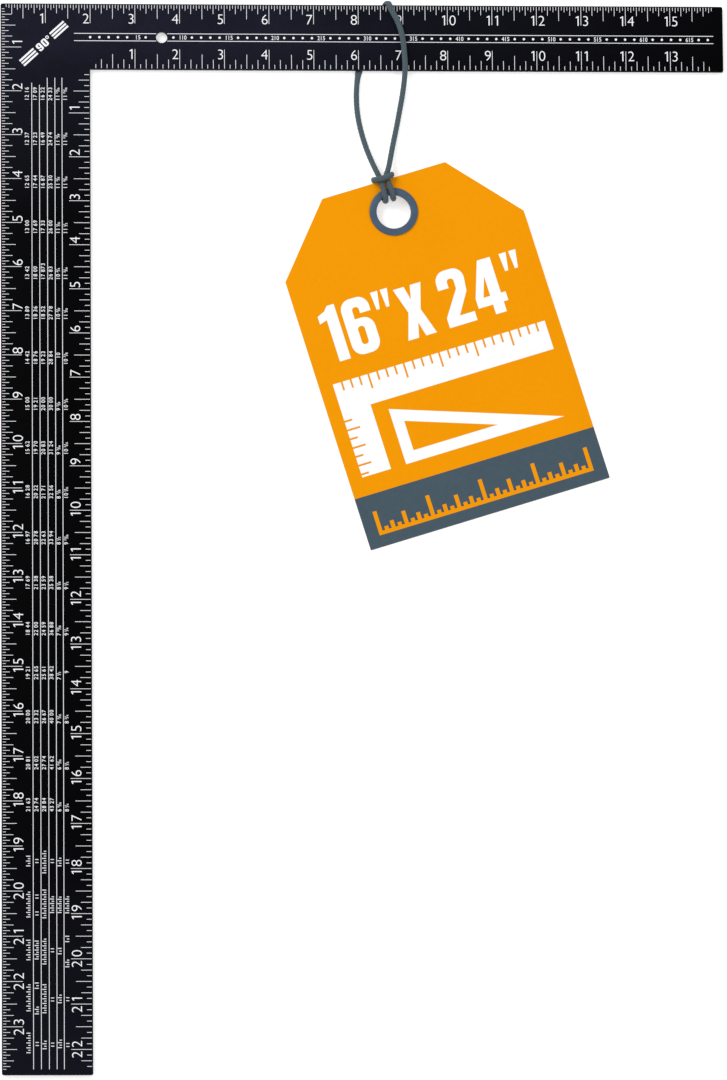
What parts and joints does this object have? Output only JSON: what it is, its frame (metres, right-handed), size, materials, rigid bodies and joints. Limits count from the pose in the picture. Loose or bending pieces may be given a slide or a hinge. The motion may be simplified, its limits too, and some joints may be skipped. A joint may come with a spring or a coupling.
{
  "type": "framing square with hang tag",
  "caption": "L-shaped flat steel carpenter's square with inch graduations on both legs and a hang tag on a cord loop that slides along, lifts off and swings beside the shorter leg.",
  "frame": {"origin": "centre of the steel square's bounding box, at half its thickness; the table that everything lies on is 2.2 mm below", "axes": "+X along the tongue (short leg) away from the heel, +Y along the blade (long leg) towards the heel, +Z out of the printed face"},
  "size_m": [0.4112, 0.6137, 0.0114],
  "materials": {
    "coated_steel": "satin black coating with white filled graduations",
    "tag_card": "smooth printed card, orange with a slate band",
    "eyelet": "semi-gloss slate moulding",
    "cord": "matt slate braid"
  },
  "bodies": {
    "square": {"square_body": "coated_steel"},
    "cord_loop": {"cord_wrap": "cord"},
    "cord_strands": {"cord_strand_left": "cord", "cord_strand_right": "cord"},
    "tag": {"tag_card": "tag_card", "eyelet_front": "eyelet", "eyelet_back": "eyelet", "cord_hitch": "cord"}
  },
  "joints": [
    {"name": "loop_slide", "type": "slide", "parent": "square", "child": "cord_loop", "axis": [1, 0, 0], "range_m": [-0.06, 0.1]},
    {"name": "loop_lift", "type": "hinge", "parent": "cord_loop", "child": "cord_strands", "pos_m": [0, 0.2585, 0.00115], "axis": [-1, 0, 0], "range_deg": [0, 100]},
    {"name": "tag_swing", "type": "hinge", "parent": "cord_strands", "child": "tag", "pos_m": [0.00916, 0.20955, 0.002], "axis": [0, 0, 1], "range_deg": [-22, 35]}
  ]
}
